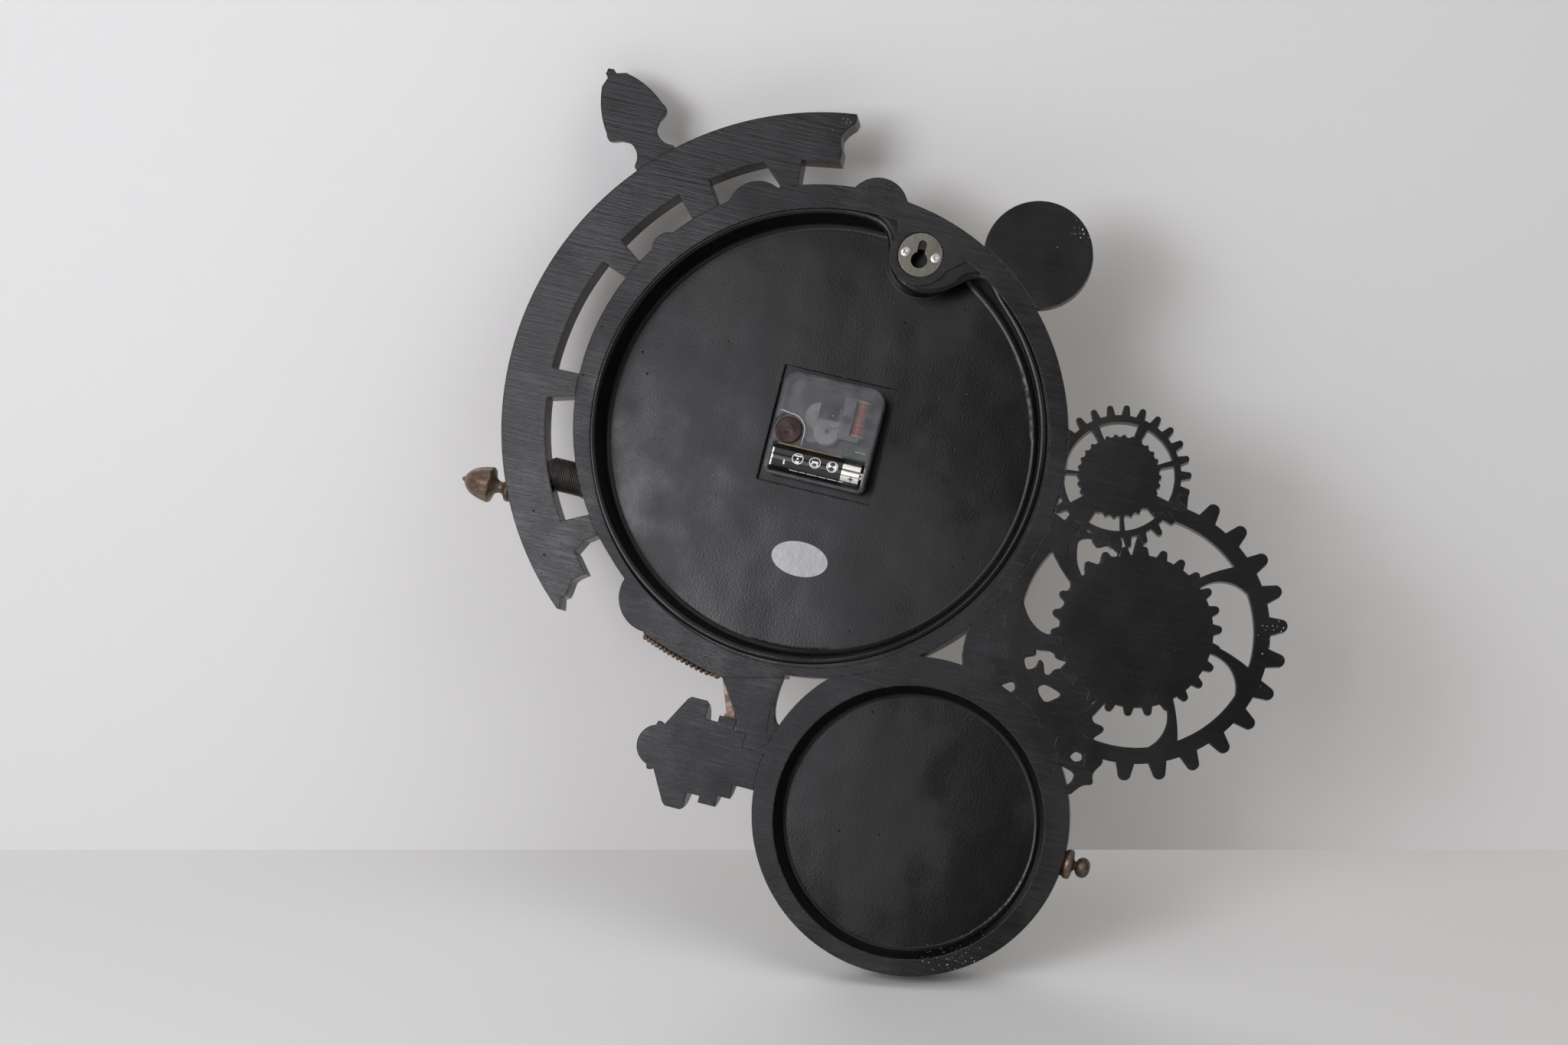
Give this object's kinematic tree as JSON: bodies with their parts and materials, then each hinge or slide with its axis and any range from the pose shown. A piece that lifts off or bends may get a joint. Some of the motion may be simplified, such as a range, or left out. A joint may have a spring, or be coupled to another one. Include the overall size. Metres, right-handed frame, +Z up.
{
  "type": "wall clock",
  "caption": "Ornamental gear-and-gauge wall clock with a hollow cast back, a battery quartz movement, a keyhole hanger plate and turning hands.",
  "frame": {"origin": "where the axis of the hands meets the plane of the flat back", "axes": "+Z up as the clock hangs, +Y out of the back towards the wall, the dial faces -Y"},
  "size_m": [0.457, 0.041, 0.4462],
  "materials": {
    "black_housing": "satin black paint over cast resin, sanded flat on the back",
    "black_gear": "satin black paint over cast resin, glossier tooth ends",
    "bronze_trim": "hand-rubbed bronze paint over cast resin",
    "dark_bronze": "dark bronze paint with rubbed edges",
    "dial_cream": "aged cream print paint",
    "dial_ink": "raised black enamel",
    "gauge_cream": "aged cream paint",
    "needle_black": "black enamel",
    "case_black": "moulded black plastic, fine texture",
    "cover_smoke": "smoky translucent moulded plastic",
    "gear_white": "natural moulded plastic",
    "gear_grey": "grey moulded plastic",
    "knob_brown": "dark red-brown moulded plastic",
    "copper_wire": "enamelled copper winding",
    "bobbin_plastic": "natural moulded plastic",
    "stator_steel": "stamped soft steel",
    "rotor_magnet": "sintered magnet",
    "board_green": "solder-masked board",
    "tin_metal": "tinned can",
    "contact_steel": "nickel-plated spring steel",
    "battery_steel": "bright plated steel can",
    "battery_wrap": "black printed sleeve",
    "brass_turned": "turned brass",
    "hand_black": "black lacquered sheet",
    "second_red": "red lacquered sheet",
    "hanger_nickel": "nickel-plated steel",
    "label_silver": "bare silver foil"
  },
  "bodies": {
    "clock": {"main_housing": "black_housing", "outer_arc_band": "black_housing", "arc_moulding": "dark_bronze", "band_rivets": "bronze_trim", "top_finial": "black_housing", "side_finial": "bronze_trim", "ribbed_stud": "bronze_trim", "lower_housing": "black_housing", "crown_knob": "bronze_trim", "valve_arm": "black_housing", "wedge_plate": "black_housing", "funnel": "bronze_trim", "rope_trim": "bronze_trim", "upper_roundel": "black_housing", "roundel_dome": "dark_bronze", "small_gear": "black_gear", "large_gear": "black_gear", "gear_bridge": "black_gear", "large_gear_boss": "bronze_trim", "small_gear_boss": "bronze_trim", "main_bezel": "dark_bronze", "dial_plate": "dial_cream", "hour_numerals": "dial_ink", "minute_track": "dial_ink", "bezel_rivets": "bronze_trim", "gauge_bezel": "dark_bronze", "gauge_face": "gauge_cream", "gauge_needle": "needle_black", "hanger_plate": "hanger_nickel", "hanger_screws": "hanger_nickel", "movement_case": "case_black", "movement_cover": "cover_smoke", "stator_plate": "stator_steel", "coil_bobbin": "bobbin_plastic", "coil_winding": "copper_wire", "circuit_board": "board_green", "crystal_can": "tin_metal", "positive_contact": "contact_steel", "negative_contact": "contact_steel", "bushing": "brass_turned", "nut_washer": "brass_turned", "fixing_nut": "brass_turned", "label_plate": "label_silver"},
    "minute": {"minute_pipe": "gear_grey", "minute_hand": "hand_black"},
    "minute_work": {"minute_wheel": "gear_white"},
    "hour": {"hour_wheel": "gear_white", "hour_hand": "hand_black"},
    "setting": {"setting_shaft": "gear_grey", "setting_knob": "knob_brown"},
    "second": {"second_wheel": "gear_white", "second_hand": "second_red"},
    "step": {"step_wheel": "gear_white"},
    "rotor_body": {"rotor": "rotor_magnet"},
    "third": {"third_wheel": "gear_white"},
    "centre": {"centre_wheel": "gear_white"},
    "battery": {"battery_can": "battery_steel", "battery_jacket": "battery_wrap"}
  },
  "joints": [
    {"name": "minute_spin", "type": "hinge", "parent": "clock", "child": "minute", "pos_m": [0, -0.02, 0], "axis": [0, 1, 0], "continuous": true},
    {"name": "minute_work_spin", "type": "hinge", "parent": "clock", "child": "minute_work", "pos_m": [0.00779, -0.02, -0.00183], "axis": [0, 1, 0], "continuous": true},
    {"name": "hour_spin", "type": "hinge", "parent": "clock", "child": "hour", "pos_m": [0, -0.021, 0], "axis": [0, 1, 0], "continuous": true},
    {"name": "setting_spin", "type": "hinge", "parent": "clock", "child": "setting", "pos_m": [0.01947, -0.015, -0.00457], "axis": [0, 1, 0], "continuous": true},
    {"name": "second_spin", "type": "hinge", "parent": "clock", "child": "second", "pos_m": [0, -0.016, 0], "axis": [0, 1, 0], "continuous": true},
    {"name": "step_spin", "type": "hinge", "parent": "clock", "child": "step", "pos_m": [-0.00226, -0.015, 0.00845], "axis": [0, 1, 0], "continuous": true},
    {"name": "rotor_spin", "type": "hinge", "parent": "clock", "child": "rotor_body", "pos_m": [-0.00976, -0.013, 0.00845], "axis": [0, 1, 0], "continuous": true},
    {"name": "third_spin", "type": "hinge", "parent": "clock", "child": "third", "pos_m": [0.00577, -0.018, 0.0069], "axis": [0, 1, 0], "continuous": true},
    {"name": "centre_spin", "type": "hinge", "parent": "clock", "child": "centre", "pos_m": [0, -0.019, 0], "axis": [0, 1, 0], "continuous": true},
    {"name": "battery_out", "type": "slide", "parent": "clock", "child": "battery", "axis": [0, 1, 0], "range_m": [0, 0.02]}
  ],
  "couplings": [
    {"joint": "minute_work_spin", "follows": "minute_spin", "ratio": -0.33333},
    {"joint": "hour_spin", "follows": "minute_spin", "ratio": 0.083333},
    {"joint": "setting_spin", "follows": "minute_spin", "ratio": 0.33333},
    {"joint": "third_spin", "follows": "second_spin", "ratio": -0.13333},
    {"joint": "centre_spin", "follows": "second_spin", "ratio": 0.016667},
    {"joint": "step_spin", "follows": "second_spin", "ratio": -6},
    {"joint": "rotor_spin", "follows": "second_spin", "ratio": 30}
  ]
}
